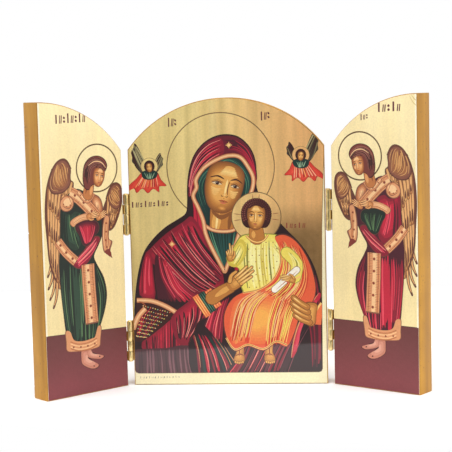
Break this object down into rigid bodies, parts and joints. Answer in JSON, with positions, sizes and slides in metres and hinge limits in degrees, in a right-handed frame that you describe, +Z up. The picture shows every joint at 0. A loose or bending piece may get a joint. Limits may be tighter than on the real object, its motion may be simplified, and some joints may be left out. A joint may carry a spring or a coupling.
{
  "type": "folding triptych religious icon",
  "caption": "Small folding triptych icon: an arch-topped wooden board with two hinged half-arch wings, each faced with a gilt paper print.",
  "frame": {"origin": "middle of the centre board's underside, on the surface that the triptych stands on", "axes": "+Z up, +X to the viewer's right along the centre board's width, +Y towards the back; the pictures face -Y"},
  "size_m": [0.2767, 0.069, 0.206],
  "materials": {
    "gold_painted_board": "gold-ochre painted fibreboard edges and back, satin, chipped along the back arris",
    "centre_print": "varnished print on gold foil paper",
    "wing_print": "varnished print on pale gold foil paper",
    "hinge_brass": "bright brass, slightly tarnished",
    "screw_brass": "dull brass"
  },
  "bodies": {
    "centre": {"centre_board": "gold_painted_board", "centre_print": "centre_print", "left_upper_hinge_pin": "hinge_brass", "left_upper_hinge_fixed_leaf": "hinge_brass", "left_upper_hinge_fixed_screw_1": "screw_brass", "left_upper_hinge_fixed_screw_2": "screw_brass", "left_lower_hinge_pin": "hinge_brass", "left_lower_hinge_fixed_leaf": "hinge_brass", "left_lower_hinge_fixed_screw_1": "screw_brass", "left_lower_hinge_fixed_screw_2": "screw_brass", "right_upper_hinge_pin": "hinge_brass", "right_upper_hinge_fixed_leaf": "hinge_brass", "right_upper_hinge_fixed_screw_1": "screw_brass", "right_upper_hinge_fixed_screw_2": "screw_brass", "right_lower_hinge_pin": "hinge_brass", "right_lower_hinge_fixed_leaf": "hinge_brass", "right_lower_hinge_fixed_screw_1": "screw_brass", "right_lower_hinge_fixed_screw_2": "screw_brass"},
    "left_wing": {"left_wing_board": "gold_painted_board", "left_wing_print": "wing_print", "left_upper_hinge_swing_leaf": "hinge_brass", "left_upper_hinge_swing_screw_1": "screw_brass", "left_upper_hinge_swing_screw_2": "screw_brass", "left_lower_hinge_swing_leaf": "hinge_brass", "left_lower_hinge_swing_screw_1": "screw_brass", "left_lower_hinge_swing_screw_2": "screw_brass"},
    "right_wing": {"right_wing_board": "gold_painted_board", "right_wing_print": "wing_print", "right_upper_hinge_swing_leaf": "hinge_brass", "right_upper_hinge_swing_screw_1": "screw_brass", "right_upper_hinge_swing_screw_2": "screw_brass", "right_lower_hinge_swing_leaf": "hinge_brass", "right_lower_hinge_swing_screw_1": "screw_brass", "right_lower_hinge_swing_screw_2": "screw_brass"}
  },
  "joints": [
    {"name": "left_wing_hinge", "type": "hinge", "parent": "centre", "child": "left_wing", "pos_m": [-0.0723, -0.00945, 0], "axis": [0, 0, 1], "range_deg": [-45.7, 134.3]},
    {"name": "right_wing_hinge", "type": "hinge", "parent": "centre", "child": "right_wing", "pos_m": [0.0723, -0.00945, 0], "axis": [0, 0, -1], "range_deg": [-33.2, 146.8]}
  ]
}
